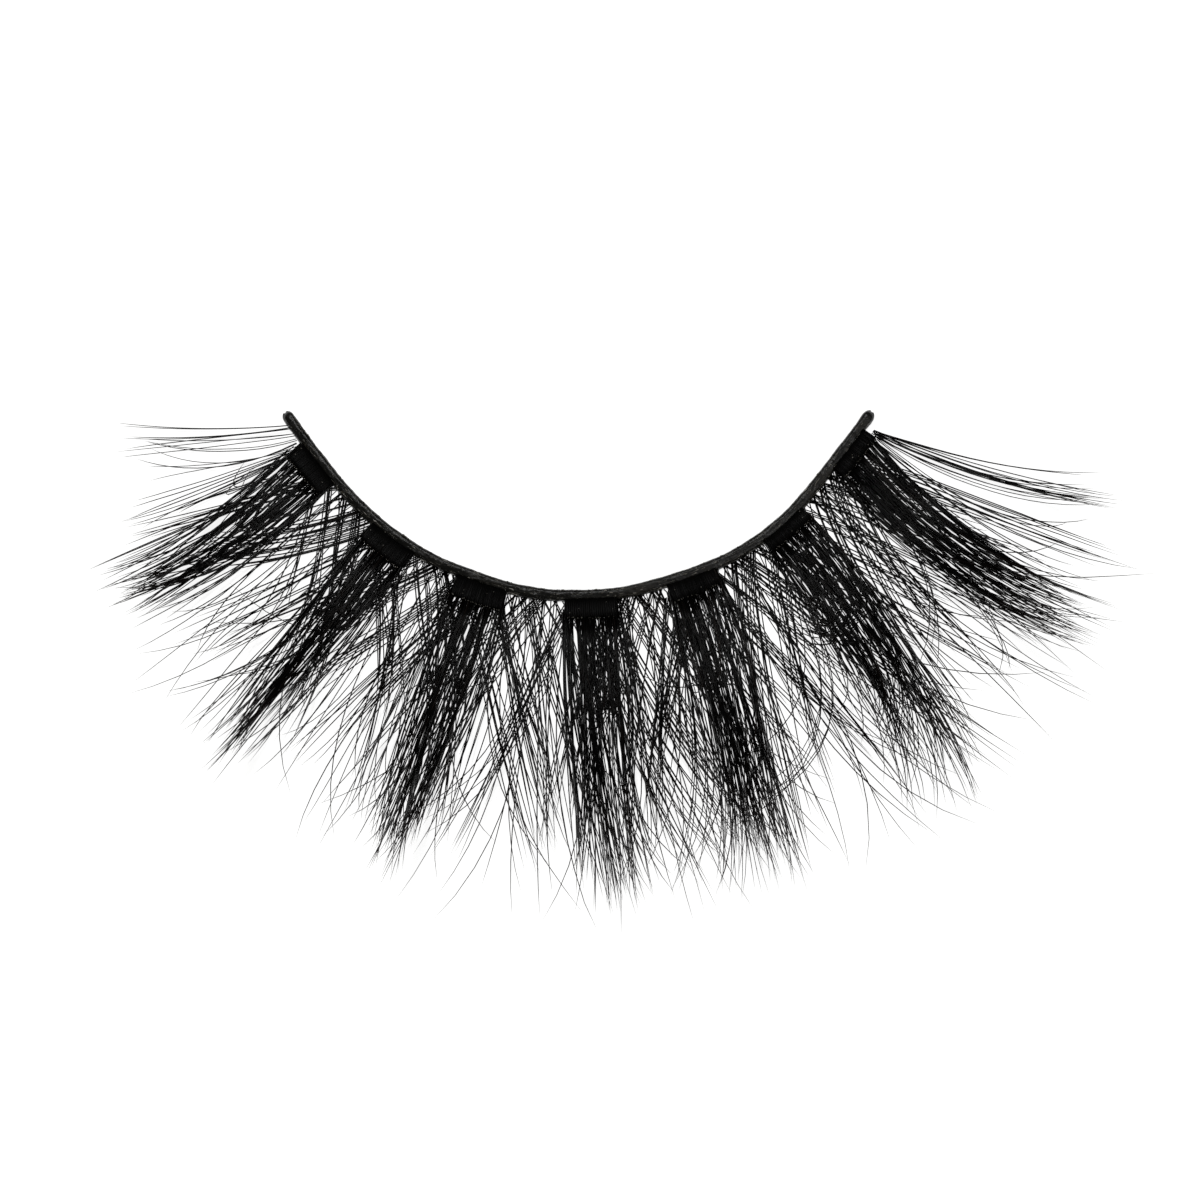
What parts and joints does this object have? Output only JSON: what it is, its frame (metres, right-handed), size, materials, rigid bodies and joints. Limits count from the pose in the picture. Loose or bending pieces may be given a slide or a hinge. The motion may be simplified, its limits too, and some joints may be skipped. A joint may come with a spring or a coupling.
{
  "type": "false eyelash strip",
  "caption": "Curved false eyelash strip: a thin black band glued along the lid carries fans of curled tapering fibres with crossed fibres between them.",
  "frame": {"origin": "middle of the band's underside, the face that is glued along the eyelid", "axes": "+X along the strip to its outer corner, -Y the way the fibres point, +Z the way their tips curl up"},
  "size_m": [0.0483, 0.0262, 0.0087],
  "materials": {
    "band": "black cotton thread band sealed with dried glue, satin",
    "fibre": "black-brown drawn polyester fibre, soft sheen"
  },
  "bodies": {
    "root": {"lash_band": "band", "fan_1": "fibre", "fan_2": "fibre", "fan_3": "fibre", "fan_4": "fibre", "fan_5": "fibre", "fan_6": "fibre", "fan_7": "fibre", "net_1": "fibre", "net_2": "fibre", "net_3": "fibre", "net_4": "fibre", "net_5": "fibre", "net_6": "fibre", "inner_wisp": "fibre", "outer_wisp": "fibre"}
  },
  "joints": []
}
